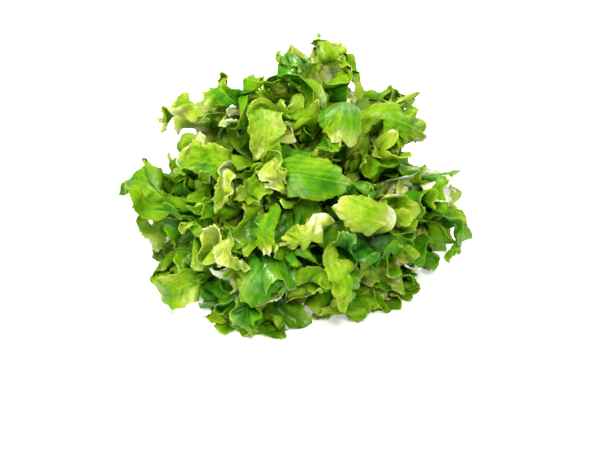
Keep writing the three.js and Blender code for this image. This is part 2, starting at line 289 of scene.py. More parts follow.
def drift(points):
    """The points, shifted so that the rosette isn't regular."""
    shift = 0
    for height, rates, phases in (SLOW_DRIFT, FINE_DRIFT):
        turn = rates[0] * points[..., [1, 2, 0]] + rates[1] * points[..., [2, 0, 1]] + phases
        shift = shift + height * np.sin(turn)
    x, y, z = (points[..., axis] for axis in range(3))
    far = np.sqrt(x**2 + y**2 + (z - CENTRE_HEIGHT) ** 2)
    shift[..., 2] *= smoothstep(z, 0, UPWARD_DRIFT_BELOW)
    return points + shift * smoothstep(far, *DRIFT_SETS_IN)[..., None]


def notched(position, places, depths, half):
    """How deep V-shaped notches at these places cut at each position."""
    depth = 0
    for place, deepest in zip(places, depths):
        wedge = np.clip(1 - np.abs(position - place) / half, 0, 1) ** NOTCH_POWER
        depth = np.maximum(depth, deepest * wedge)
    return depth


def notches(many):
    """Shares of every leaf's half width and of its length that its notches take away."""
    shape = (2, NOTCHES, many, 1, 1)
    places = np.linspace(*NOTCHED_BETWEEN, NOTCHES)[:, None, None, None]
    places = places + RNG.uniform(-NOTCH_SHIFT, NOTCH_SHIFT, shape)
    depths = RNG.uniform(*NOTCH_DEPTHS, shape)
    left, right = (notched(ALONG, *side, NOTCH_HALF) for side in zip(places, depths))
    side_cut = np.where(ACROSS < 0, left, right) * np.abs(ACROSS) ** 0.5
    shape = (len(END_NOTCHES), many, 1, 1)
    ends = np.array(END_NOTCHES)[:, None, None, None]
    ends = ends + RNG.uniform(-END_NOTCH_SHIFT, END_NOTCH_SHIFT, shape)
    end_cut = notched(ACROSS, ends, RNG.uniform(*END_NOTCH_DEPTHS, shape), END_NOTCH_HALF)
    return side_cut, end_cut


def sheets():
    """Every leaf's smooth sheet as points[leaf, row, column], with its flat pattern.

    The CAD leaves have whole numbers, and one more lies between every two of them.
    """
    leaf = np.arange(2 * LEAF_COUNT - 1)[:, None, None] / 2
    inner = leaf % 1 > 0
    many = len(leaf)
    share = leaf / (LEAF_COUNT - 1)
    start = stem_radius(base_angle(share)) + STEM_GAP
    side_cut, end_cut = notches(many)
    aim = aim_of(leaf)
    shorter = LEAST_SHORTENING + LENGTH_VARIES * (0.5 + 0.5 * scatter(leaf, 1)) + INNER_SHORTENING * inner
    length = (1 - shorter) * reach(tip_angle(share), aim)
    end = length - TIP_ROUNDING * ACROSS**2
    end = end - end_cut * (end - start) * smoothstep(ALONG, *END_CUT_BETWEEN)
    r = start + (end - start) * ALONG
    angle = layer_angle(share, r)
    width = np.where(inner, INNER_WIDTH_SHARE, LEAF_WIDTH_SHARE) * half_width(share)
    width = width * (1 + WIDTH_VARIES * scatter(leaf, 4)) * (1 - side_cut)
    half_angle = WRAP_LIMIT * np.tanh(width / (r * np.sin(angle)) / WRAP_LIMIT)
    swing = SWING_VARIES * scatter(leaf, 3) * smoothstep(ALONG, SWINGS_FROM, 1)
    azimuth = aim + swing + ACROSS * half_angle
    phase = RNG.uniform(0, 2 * np.pi, (2, many, 1, 1))[0]  # a second one is drawn and not used
    waves = RNG.uniform(*WAVE_COUNTS, (many, 1, 1))
    swell = np.abs(ACROSS) ** 1.5 * smoothstep(ALONG, *WAVES_SET_IN)
    wave = np.sin(2 * np.pi * waves * ALONG + phase + SIDES_APART * np.sign(ACROSS))
    angle = angle + WAVE_HEIGHT * swell * wave / r
    out = r * np.sin(angle)
    points = np.stack([out * np.cos(azimuth), out * np.sin(azimuth), CENTRE_HEIGHT + r * np.cos(angle)], -1)
    points[..., :2] += points[..., 2:] * HEAD_LEAN
    points = drift(points)
    points[..., 2] = np.maximum(points[..., 2], GROUND_GAP)
    return points, np.stack(np.broadcast_arrays(ACROSS * width, r - start), axis=-1)


def rib_course(middle, outward, facing, tip_way, long):
    """Points along a front leaf's rib, from the crown over its shoulder to its tip."""
    tip = middle + tip_way * long * TIP_SHARE - facing * ENDS_FALL_BACK
    shoulder = middle - tip_way * long * SHOULDER_SHARE - facing * ENDS_FALL_BACK
    base, half_way = CENTRE + RIB_STARTS * outward, CENTRE + 0.5 * (shoulder - CENTRE)
    knots = np.stack([base, half_way, shoulder, middle + RIB_BULGE * facing, tip], axis=1)
    course = np.stack([np.interp(ALONG[:, 0], KNOTS_AT, places) for places in knots], -1)
    for _ in range(SMOOTHINGS):
        course[1:-1] = (course[:-2] + 2 * course[1:-1] + course[2:]) / 4
    return course


def front_side_cut():
    """Share of a front leaf's half width that waves and one notch take from each side."""
    side_cut = np.zeros((ROWS + 1, COLUMNS + 1))
    for side in (-1, 1):
        wave = 0
        for turns in SIDE_WAVES:
            depth = RNG.uniform(0, SIDE_WAVE_DEPTH)
            wave = wave + depth * np.sin(ALONG * turns + RNG.uniform(*ANY_PHASE))
        place = RNG.uniform(*FRONT_NOTCH_AT)
        deepest = RNG.uniform(0, FRONT_NOTCH_DEPTH)
        notch = deepest * np.clip(1 - np.abs(ALONG - place) / FRONT_NOTCH_HALF, 0, 1)
        side_cut = np.where(np.sign(ACROSS) == side, notch - wave, side_cut)
    return side_cut


def front_leaf(right, high, far, turn, roll, cup, half, long):
    """One front leaf's smooth sheet and flat pattern."""
    offset = right * VIEW_RIGHT + (high - VIEW_UP @ CENTRE) * VIEW_UP
    depth = math.sqrt(max(far**2 - offset @ offset, LEAST_DEPTH**2))
    middle = CENTRE + offset + depth * VIEW_NEAR
    outward = unit(middle - CENTRE)
    facing = unit(outward + FACES_CAMERA * VIEW_NEAR)
    tip_way = math.cos(math.radians(turn)) * VIEW_RIGHT + math.sin(math.radians(turn)) * VIEW_UP
    tip_way = unit(tip_way - (tip_way @ facing) * facing)
    lean = math.radians(roll)
    facing = math.cos(lean) * facing + math.sin(lean) * np.cross(tip_way, facing)
    course = rib_course(middle, outward, facing, tip_way, long)
    way = unit(np.gradient(course, axis=0))
    side = unit(np.cross(way, np.broadcast_to(facing, way.shape)))
    side = unit(side + SLIGHT_TURN)
    narrowing = 1 - FRONT_NARROWS_BY * smoothstep(ALONG, *FRONT_NARROWS)
    grown = smoothstep(ALONG, *FRONT_WIDENS) * narrowing
    width = FRONT_BASE_HALF_WIDTH + (half - FRONT_BASE_HALF_WIDTH) * grown
    wide = width * ACROSS * (1 - front_side_cut() * np.abs(ACROSS) ** 0.5)
    end = RNG.uniform(*END_ROUNDINGS) * np.abs(ACROSS) ** 1.5 + RNG.uniform(*END_SLANTS) * ACROSS
    end = end + END_WAVE_DEPTH * np.sin(ACROSS * RNG.uniform(*END_WAVES) + RNG.uniform(*ANY_PHASE))
    back = end * smoothstep(ALONG, END_STARTS, 1)
    cupped = cup * ACROSS**2 * grown
    points = course[:, None] + side[:, None] * wide[..., None] - way[:, None] * back[..., None]
    points = points + facing * cupped[..., None]
    rib_length = np.concatenate([[0], np.cumsum(np.linalg.norm(np.diff(course, axis=0), axis=1))])
    return points, np.stack([wide, rib_length[:, None] - back], -1)


def front_leaves():
    """The front leaves' sheets and flat patterns, in the form of sheets()."""
    leaves = [front_leaf(*front[:-2]) for front in FRONT_LEAVES]
    points, flat = (np.stack(arrays) for arrays in zip(*leaves))
    points[..., 2] = np.maximum(points[..., 2], FRONT_GROUND_GAP)
    return points, flat


def rim_places(flat):
    """Each point's distance from the leaf's margin in the flat pattern, and how far round it lies."""
    distance, arc = np.empty((2, *flat.shape[:3]), np.float32)
    for n, f in enumerate(flat):
        rim = np.concatenate([f[RIM_FROM:, 0], f[-1], f[: RIM_FROM - 1 : -1, -1]])
        a, b = rim[:-1], rim[1:]
        d = b - a
        length = np.sqrt((d * d).sum(-1))
        start = np.cumsum(length) - length
        p = f.reshape(-1, 1, 2)
        t = np.clip(((p - a) * d).sum(-1) / ((d * d).sum(-1) + 1e-6), 0, 1)
        away = np.sqrt(((p - a - t[..., None] * d) ** 2).sum(-1))
        near = away.argmin(1)
        pick = np.arange(len(near)), near
        distance[n] = away[pick].reshape(f.shape[:2])
        arc[n] = (start[near] + t[pick] * length[near]).reshape(f.shape[:2])
    return distance, arc


# ---- growth of the sheets

# Rows on, columns on, and how hard each kind of link pulls
LINKS = ((1, 0, 1), (0, 1, 1), (1, 1, 0.5), (1, -1, 0.5))
LINKS += ((2, 0, 0.2), (0, 2, 0.2), (4, 0, 0.06), (0, 4, 0.06))


def link_ends(rows, columns):
    """Two indices that pair each point with the one this many rows and columns further on."""
    row_a, row_b, column_a, column_b = (
        slice(max(shift, 0), cells + 1 + min(shift, 0))
        for shift, cells in ((-rows, ROWS), (rows, ROWS), (-columns, COLUMNS), (columns, COLUMNS))
    )
    return (..., row_a, column_a), (..., row_b, column_b)


def squared(gap):
    """Squared lengths of the vectors gap[axis, ...]."""
    return gap[0] * gap[0] + gap[1] * gap[1] + gap[2] * gap[2]


def spans(flat, growth):
    """Rest length of every link on the grown leaf."""
    rest = []
    for rows, columns, _ in LINKS:
        a, b = link_ends(rows, columns)
        across, along = (flat[..., k][b] - flat[..., k][a] for k in (0, 1))
        rest.append(np.sqrt(across * across + along * along) * (growth[a] + growth[b]) / 2 + TINY)
    return rest


def relax(points, weight, rest):
    """One pass over the links of every leaf, averaged so that it stays stable.

    A link over two or four cells only pushes its ends apart, which resists folding.
    """
    for first in range(0, points.shape[1], LEAVES_AT_ONCE):
        part = slice(first, first + LEAVES_AT_ONCE)
        here, free = points[:, part], weight[part]
        move = np.zeros_like(here)
        for (rows, columns, stiffness), spans_here in zip(LINKS, rest):
            a, b = link_ends(rows, columns)
            gap = here[b] - here[a]
            length = np.sqrt(squared(gap)) + TINY
            pull = stiffness * (1 - spans_here[part] / length) / (free[a] + free[b] + TINY)
            if rows > 1 or columns > 1:
                pull = np.minimum(pull, 0)
            gap *= pull
            move[a] += gap * free[a]
            move[b] -= gap * free[b]
        here += move * RELAXATION


def close_pairs(places, within):
    """Pairs of points closer together than this, as two index arrays."""
    cell = np.floor(places / within).astype(np.int64)
    cell -= cell.min(1)[:, None] - 1
    size = cell.max(1) + 2
    key = (cell[0] * size[1] + cell[1]) * size[2] + cell[2]
    order = np.argsort(key, kind="stable")
    key = key[order]
    # The points of cell k are start[k] to start[k + 1] in that order
    start = np.concatenate([[0], np.cumsum(np.bincount(key, minlength=size.prod() + 2))])
    places = places[:, order]
    me = np.arange(len(order))
    first, second = [], []
    for columns_on in (0, 1, size[1] - 1, size[1], size[1] + 1):
        there = key + columns_on * size[2]
        begin = start[there - 1] if columns_on else me + 1
        count = start[there + 2] - begin
        a = np.repeat(me, count)
        b = np.arange(len(a)) - np.repeat(np.cumsum(count) - count - begin, count)
        gap = places[:, a] - places[:, b]
        near = squared(gap) < within * within
        first.append(order[a[near]])
        second.append(order[b[near]])
    return np.concatenate(first), np.concatenate(second)


class Contacts:
    """Pushes the points of all sheets away from each other where they come too close."""

    def __init__(self, weight):
        self.leaf, self.row, self.column = (index.ravel() for index in np.indices(weight.shape, np.int32))
        self.weight = weight.ravel()
        # The hidden half of a front leaf may pass through other leaves
        leaves, rows, _ = weight.shape
        self.hidden = (self.leaf >= leaves - len(FRONT_LEAVES)) & (self.row < 0.5 * rows)

    def find(self, points):
        """List the pairs of points that are too close or may be soon."""
        a, b = close_pairs(points.reshape(3, -1), np.float32(CONTACT * CONTACT_SEARCH))
        near = self.leaf[a] == self.leaf[b]
        near &= np.abs(self.row[a] - self.row[b]) < SAME_PLACE
        near &= np.abs(self.column[a] - self.column[b]) < SAME_PLACE
        near |= self.hidden[a] | self.hidden[b]
        self.a, self.b = a[~near], b[~near]
        self.push_a, self.push_b = self.weight[self.a] / 2, self.weight[self.b] / 2

    def push_apart(self, points):
        """Move the points of each listed pair apart where they are too close."""
        places = points.reshape(3, -1)
        gap = places[:, self.b] - places[:, self.a]
        length = np.sqrt(squared(gap)) + TINY
        shove = np.maximum(CONTACT - length, 0) / length / 2
        touching = np.flatnonzero(shove)
        gap = gap[:, touching] * shove[touching]
        a, b = self.a[touching], self.b[touching]
        push_a, push_b = self.push_a[touching], self.push_b[touching]
        for axis in range(3):
            pushed = np.bincount(b, gap[axis] * push_b, places.shape[1])
            pushed -= np.bincount(a, gap[axis] * push_a, places.shape[1])
            places[axis] += pushed.astype(np.float32)


def folds(flat):
    """A slow wave over every leaf, along which its folds begin."""
    shape = (FOLD_WAVES, flat.shape[0], 1, 1)
    turn = RNG.uniform(0, 2 * np.pi, shape)
    length = RNG.uniform(*FOLD_LENGTHS, shape)
    phase = RNG.uniform(0, 2 * np.pi, shape)
    x, y = flat[..., 0], flat[..., 1]
    waves = np.sin(2 * np.pi * (x * np.cos(turn) + y * np.sin(turn)) / length + phase)
    return waves.sum(0) / (FOLD_WAVES / 2)


def ruffles(rim, arc):
    """A short wave round every leaf's margin."""
    shape = (rim.shape[0], 1, 1)
    length = RNG.uniform(*RUFFLE_LENGTHS, shape)
    phase, slow = RNG.uniform(0, 2 * np.pi, (2, *shape))
    wandering = arc + RUFFLES_WANDER_BY * np.sin(arc / RUFFLES_WANDER_OVER + slow)
    return np.sin(2 * np.pi * wandering / length + phase) * np.exp(-rim / RUFFLE_ZONE)


def normals(points):
    """Unit normals of sheets given as points[axis, ..., row, column]."""
    across = np.gradient(points, axis=-1)
    along = np.gradient(points, axis=-2)
    normal = np.stack([along[k - 2] * across[k - 1] - along[k - 1] * across[k - 2] for k in range(3)])
    return normal / (np.sqrt((normal * normal).sum(0)) + 1e-9)


def holds(shape):
    """How strongly each point is drawn back to its place on the smooth sheet."""
    rib = np.exp(-((ACROSS * shape[2] / 4) ** 2))
    hold = HOLD + RIB_HOLD * rib * (1 - smoothstep(ALONG, *RIB_HELD_UP_TO))
    hold = hold + BASE_HOLD * (1 - smoothstep(ALONG, *BASE_HELD_UP_TO))
    hold = np.broadcast_to(hold, shape).astype(np.float32).copy()
    front = FRONT_HOLD + FLAT_FRONT_HOLD * (1 - FRONT_RUFFLES) ** 2
    hold[FRONT] = front + FRONT_RIB_HOLD * rib * smoothstep(1 - ALONG, *FRONT_RIB_FREED)
    return hold


def buckling(flat, rim, arc, blade):
    """The push across each sheet that starts its curl, folds and ruffles."""
    curl = RNG.uniform(-1, 1, (len(flat), 1, 1)) * smoothstep(ALONG, *CURLS_BETWEEN)
    push = (folds(flat) + CURL_SHARE * curl) * smoothstep(ALONG, *FOLDS_BETWEEN) * FOLD_PUSH
    push = push + ruffles(rim, arc) * blade * RUFFLE_PUSH
    push[FRONT] *= FRONT_RUFFLES
    return push.astype(np.float32)


def room():
    """The two corners of the space that the sheets may fill."""
    low = np.array(cad_low) / MM - ROOM_ROUND_CAD
    high = np.array(cad_high) / MM + ROOM_ROUND_CAD
    low[2] = ROOM_FLOOR
    return (corner.astype(np.float32)[:, None, None, None] for corner in (low, high))


def grow(points, flat, rim, arc):
    """The sheets once their margins have grown and their points have pushed each other apart."""
    shape = points.shape[:3]
    low, high = room()
    # How freely each point moves, from 0 where the leaf is fixed to the stem
    weight = np.broadcast_to(smoothstep(ALONG, *FREED_BETWEEN), shape).astype(np.float32).copy()
    contacts = Contacts(weight)
    points = np.ascontiguousarray(np.moveaxis(points, -1, 0))
    home = points.copy()
    hold = holds(shape)
    blade = smoothstep(ALONG, *BLADE_BETWEEN)
    edge = np.exp(-rim / EDGE_ZONE) * blade
    edge[FRONT] *= FRONT_RUFFLES
    push = buckling(flat, rim, arc, blade)
    droop = DROOP + OUTER_DROOP * (1 - np.linspace(0, 1, shape[0])[:, None, None]) ** 3
    droop = (droop * weight).astype(np.float32)
    speed = np.zeros_like(points)
    for step in range(STEPS):
        growth = 1 + EDGE_GROWTH * min(1, (step + 1) / (STEPS * GROWN_AFTER)) * edge
        rest = spans(flat, growth.astype(np.float32))
        before = points.copy()
        points += speed * DRAG
        strength = 1 - smoothstep(step / STEPS, *PUSH_FADES_BETWEEN)
        if strength > 0:
            points += normals(points) * push * np.float32(strength)
        points[2] -= droop
        if step % 2 == 0:
            contacts.find(points)
        for _ in range(ROUNDS):
            relax(points, weight, rest)
            points += (home - points) * hold
            contacts.push_apart(points)
            np.clip(points, low, high, out=points)
        speed = points - before
        fastest = np.sqrt((speed * speed).sum(0)) + TINY
        speed *= np.minimum(1, TOP_SPEED / fastest)
    return np.moveaxis(points, 0, -1)


# ---- meshes


def sample(values, where, axis):
    """The values resampled along one axis by a cubic curve."""
    values = np.moveaxis(values, axis, 0)
    n = values.shape[0] - 1
    i = np.clip(np.floor(where).astype(int), 0, n - 1)
    t = (where - i)[:, None, None]
    p0, p1, p2, p3 = (values[np.clip(i + k, 0, n)] for k in (-1, 0, 1, 2))
    square = 2 * p0 - 5 * p1 + 4 * p2 - p3
    cube = 3 * p1 - p0 - 3 * p2 + p3
    out = 0.5 * (2 * p1 + (p2 - p0) * t + square * t**2 + cube * t**3)
    return np.moveaxis(out, 0, axis)


def add_object(name, data):
    """A new object in the scene."""
    thing = bpy.data.objects.new(name, data)
    bpy.context.scene.collection.objects.link(thing)
    return thing


def add_piece(name, vertices, faces, material, numbers):
    """A smooth mesh object with its material, and numbers at each vertex for the material to read."""
    mesh = bpy.data.meshes.new(name)
    mesh.from_pydata((vertices * MM).tolist(), [], faces)
    mesh.polygons.foreach_set("use_smooth", [True] * len(faces))
    mesh.materials.append(material)
    for number, values in numbers.items():
        attribute = mesh.attributes.new(number, "FLOAT", "POINT")
        attribute.data.foreach_set("value", np.asarray(values, np.float32))
    return add_object(name, mesh)


def frilled_sheet(sheet, along, across, tone, frilled):
    """The finely resampled sheet with frills along its margin, its normals, flat pattern and margin."""
    fine = sample(sample(sheet, ROWS * along, 0), COLUMNS * (across + 1) / 2, 1)
    grid, plan, margin, arc = fine[..., :3], fine[..., 3:5], fine[..., 5], fine[..., 6]
    normal = np.moveaxis(normals(np.moveaxis(grid, -1, 0)), 0, -1)
    wandering = arc + FRILLS_WANDER_BY * np.sin(arc / FRILLS_WANDER_OVER + FRILL_PHASE * tone)
    frill = np.sin(2 * np.pi * wandering / FRILL_LENGTH)
    frill = FRILL_HEIGHT * frilled * frill * np.exp(-margin / FRILL_ZONE)
    frill = frill * smoothstep(along[:, None], *FRILLED_BETWEEN)
    return grid + normal * frill[..., None], normal, plan, margin


def teeth(grid, ring, inside, along, frilled):
    """The tip of a tooth on every stretch of the margin, and how tall each tooth is.

    ring lists the points of the margin in order, and inside the next point further in.
    """
    places = grid.reshape(-1, 3)
    a, b = places[ring], places[np.roll(ring, -1)]
    side = b - a
    side = side / (np.linalg.norm(side, axis=1)[:, None] + 1e-6)
    out = a - places[inside]
    out -= (out * side).sum(1)[:, None] * side
    out /= np.linalg.norm(out, axis=1)[:, None] + 1e-6
    tall = np.clip(TEETH.gamma(TOOTH_SHAPE, TOOTH_SCALE, len(ring)), *TOOTH_HEIGHTS)
    tall = tall * smoothstep(along, *TOOTHED_BETWEEN) * (PLAIN_TEETH + (1 - PLAIN_TEETH) * frilled)
    lean = TEETH.uniform(*TOOTH_LEANS, len(ring))
    return a + (b - a) * lean[:, None] + out * tall[:, None], tall


def leaf_faces(index, ring):
    """Faces of a leaf's two sides, and of the teeth that join them round the margin."""
    many = index.size
    quads = np.stack([index[:-1, :-1], index[1:, :-1], index[1:, 1:], index[:-1, 1:]], -1).reshape(-1, 4)
    a, b = ring, np.roll(ring, -1)
    tip = 2 * many + np.arange(len(ring))
    faces = np.concatenate([quads, quads[:, ::-1] + many]).tolist()
    for corners in ((b, a, tip), (a + many, b + many, tip), (a, a + many, tip), (b + many, b, tip)):
        faces += np.stack(corners, -1).tolist()
    return faces


def make_leaf(name, sheet, tone, material, blanched=0, frilled=1):
    """One leaf as a thin closed shell with a frilled and toothed margin.

    blanched is the share of the length that is as pale as the base. Below 0, the base is greener.
    """
    along = np.linspace(0, 1, FINE_ROWS + 1)
    along = along + FINER_TIP * along * (1 - along)
    across = np.linspace(-1, 1, FINE_COLUMNS + 1)
    across = across + FINER_SIDES * np.sin(np.pi * across) / np.pi
    grid, normal, plan, margin = frilled_sheet(sheet, along, across, tone, frilled)
    along = np.broadcast_to(along[:, None], margin.shape)
    below = LOWER_THICKNESS + RIB_DEPTH * (1 - along) * np.exp(-((plan[..., 0] / RIB_WIDTH) ** 2))
    upper = grid + normal * UPPER_THICKNESS
    lower = grid - normal * below[..., None]

    index = np.arange(margin.size).reshape(margin.shape)
    ring = np.concatenate([index[:-1, 0], index[-1, :-1], index[:0:-1, -1], index[0, :0:-1]])
    inside = np.concatenate([index[:-1, 1], index[-2, :-1], index[:0:-1, -2], index[1, :0:-1]])
    tips, tall = teeth(grid, ring, inside, along.ravel()[ring], frilled)
    vertices = np.concatenate([upper.reshape(-1, 3), lower.reshape(-1, 3), tips])
    vertices[:, 2] = np.maximum(vertices[:, 2], LOWEST)

    plan = plan.reshape(-1, 2)
    plan = np.concatenate([plan, plan, (plan[ring] + plan[np.roll(ring, -1)]) / 2])
    shown = np.clip((along - blanched) / (1 - blanched), 0, 1).ravel()
    numbers = {
        "along": np.concatenate([shown, shown, shown[ring]]),
        "rim": np.concatenate([margin.ravel(), margin.ravel(), -tall]),
        "plan_x": plan[:, 0],
        "plan_y": plan[:, 1],
        "tone": np.full(len(plan), tone),
        "under": np.repeat([0.0, 1.0, 0.5], [index.size, index.size, len(ring)]),
    }
    return add_piece(name, vertices, leaf_faces(index, ring), material, numbers)


STEM_ROWS, CUT_ROWS, STEM_COLUMNS = 56, 14, 112
POLE_ANGLE = 0.03  # where the rows next to the two poles lie
SWELLING, SWELLING_MARGIN, SWELLING_HALF_HEIGHT = 2.2, 1, 0.08  # the last one in radians
STUMP_BETWEEN = (2.1, 2.3)  # polar angles between which the leaf bases end and the stump shows
STUMP_RIB, STUMP_RIBS, STUMP_SCAR, STUMP_SCAR_RATE = 0.35, 13, 0.3, 42
CUT_DISHED, CUT_ROUGH, CUT_GAP = 0.5, 0.1, 0.02


def leaf_swellings(polar, around):
    """How far the stem swells under the bases of the leaves, from 0 to 1."""
    swelling = 0 * (polar + around)
    for leaf in np.arange(0, LEAF_COUNT - 1, 0.5):
        share = leaf / (LEAF_COUNT - 1)
        turn = (around - aim_of(leaf) + np.pi) % (2 * np.pi) - np.pi
        wide = (lerp(BASE_HALF_WIDTH, share) + SWELLING_MARGIN) / STEM_RADIUS
        up = (polar - base_angle(share)) / SWELLING_HALF_HEIGHT
        swelling = np.maximum(swelling, np.exp(-((turn * np.sin(polar) / wide) ** 4) - up**2))
    return swelling


def make_stem():
    """The stem, with swellings under the leaves, a ribbed and scarred stump, and a cut face."""
    edge = math.pi - math.atan2(STEM_CUT_RADIUS, CENTRE_HEIGHT)
    side_rows = np.linspace(POLE_ANGLE, edge, STEM_ROWS)
    cut_rows = np.linspace(edge, math.pi - POLE_ANGLE, CUT_ROWS)[1:]
    polar = np.concatenate([side_rows, cut_rows])[:, None]
    around = np.linspace(0, 2 * np.pi, STEM_COLUMNS, endpoint=False)[None, :]
    under = polar > edge - 1e-6
    r = np.where(under, CENTRE_HEIGHT / np.maximum(-np.cos(polar), 0.1), stem_radius(polar))
    stump = smoothstep(polar, *STUMP_BETWEEN) * (polar < edge)
    ribs = STUMP_RIB * np.sin(STUMP_RIBS * around + 2 * np.sin(3 * around))
    scars = STUMP_SCAR * np.sin(STUMP_SCAR_RATE * polar + 2 * np.sin(5 * around))
    swelling = SWELLING * leaf_swellings(polar, around) * (1 - stump)
    r = r + np.where(under, 0, swelling + (ribs + scars) * stump)
    out = r * np.sin(polar)
    high = CENTRE_HEIGHT + r * np.cos(polar)
    # The cut face is a little hollow, and its rim is on the ground
    outward = out / STEM_CUT_RADIUS
    dished = CUT_DISHED * (1 - outward**2) + CUT_ROUGH * np.sin(2.4 * out + 3 * around)
    dished = np.maximum(dished * np.maximum(1 - outward, 0) ** 0.3, CUT_GAP)
    high = np.where(under, dished, high)
    x = out * np.cos(around) + HEAD_LEAN[0] * high
    y = out * np.sin(around) + HEAD_LEAN[1] * high
    grid = np.stack(np.broadcast_arrays(x, y, high), -1)
    vertices = np.concatenate([grid.reshape(-1, 3), [grid[0].mean(0), grid[-1].mean(0)]])

    index = np.arange(out.size).reshape(out.shape)
    beside = np.roll(index, -1, axis=1)
    crown, pith = np.full((2, STEM_COLUMNS), [[out.size], [out.size + 1]])
    quads = np.stack([index[:-1], index[1:], beside[1:], beside[:-1]], -1).reshape(-1, 4)
    top = np.stack([index[0], beside[0], crown], -1)
    bottom = np.stack([beside[-1], index[-1], pith], -1)
    faces = quads.tolist() + top.tolist() + bottom.tolist()
    numbers = {
        "cut_face": np.append(np.broadcast_to(under, out.shape).ravel(), [0, 1]),
        "out": np.append(outward.ravel(), [0, 0]),
        "plan_x": vertices[:, 0],
        "plan_y": vertices[:, 1],
        "high": vertices[:, 2],
    }
    return add_piece("stem_skin", vertices, faces, stem_material(), numbers)


# ---- materials

# Leaf colours, from the deepest green at 0 to blanched at 1
LEAF_COLOURS = (
    (0, (0.012, 0.088, 0.005)),
    (0.25, (0.058, 0.235, 0.005)),
    (0.5, (0.19, 0.37, 0.005)),
    (0.75, (0.405, 0.475, 0.055)),
    (0.95, (0.655, 0.69, 0.38)),
    (1, (0.83, 0.85, 0.7)),
)
LIGHT_THROUGH, SHARE_THROUGH = (0.1, 0.48, 0.015), 0.32
VEIN_SPACING, VEIN_SLANT, VEIN_WANDER = 9, 0.85, 9
LEAVES_APART = 900  # how far apart in the noises two leaves lie whose tones differ by 1
STEM_SIDE = ((0.5, 0.6, 0.22), (0.78, 0.8, 0.56))
STEM_PITH, STEM_BROWNED = ((0.82, 0.78, 0.56), (0.7, 0.66, 0.4)), (0.34, 0.19, 0.07)
BROWNED_RING = 0.76  # where it lies, as a share of the cut face's radius


class Graph:
    """Short ways to make and join a material's nodes."""

    def __init__(self, material):
        material.use_nodes = True
        self.tree = material.node_tree
        self.tree.nodes.clear()

    def node(self, kind, inputs=(), **settings):
        """A node with its settings and inputs, each linked or set to a value."""
        node = self.tree.nodes.new(kind)
        for name, value in settings.items():
            setattr(node, name, value)
        for key, value in dict(inputs).items():
            if isinstance(value, bpy.types.NodeSocket):
                self.tree.links.new(value, node.inputs[key])
            else:
                node.inputs[key].default_value = value
        return node

    def math(self, operation, a, b=0):
        return self.node("ShaderNodeMath", {0: a, 1: b}, operation=operation).outputs[0]

    def add(self, first, *others):
        for other in others:
            first = self.math("ADD", first, other)
        return first

    def times(self, a, b):
        return self.math("MULTIPLY", a, b)

    def ramp(self, value, low, high, to_low=0, to_high=1):
        """Straight from to_low at low to to_high at high, and level beyond."""
        inputs = {"Value": value, "From Min": low, "From Max": high, "To Min": to_low, "To Max": to_high}
        return self.node("ShaderNodeMapRange", inputs).outputs[0]

    def read(self, name):
        """The number stored under this name at each vertex."""
        return self.node("ShaderNodeAttribute", attribute_name=name).outputs["Fac"]

    def point(self, x, y, z):
        return self.node("ShaderNodeCombineXYZ", {0: x, 1: y, 2: z}).outputs[0]

    def blend(self, amount, a, b):
        """A colour between two others, each a socket or a tuple."""
        a, b = ((*colour, 1) if isinstance(colour, tuple) else colour for colour in (a, b))
        return self.node("ShaderNodeMix", {0: amount, 6: a, 7: b}, data_type="RGBA").outputs[2]

    def noise(self, place, scale, detail=2):
        inputs = {"Vector": place, "Scale": scale, "Detail": detail}
        return self.node("ShaderNodeTexNoise", inputs).outputs[0]

    def colours(self, value, stops):
        """The colour at this value between the stops."""
        ramp = self.node("ShaderNodeValToRGB", {0: value})
        elements = ramp.color_ramp.elements
        while len(elements) < len(stops):
            elements.new(0.5)
        for element, (position, colour) in zip(elements, stops):
            element.position, element.color = position, (*colour, 1)
        return ramp.outputs[0]

    def bump(self, height, strength, distance):
        inputs = {"Height": height, "Strength": strength, "Distance": distance}
        return self.node("ShaderNodeBump", inputs).outputs[0]


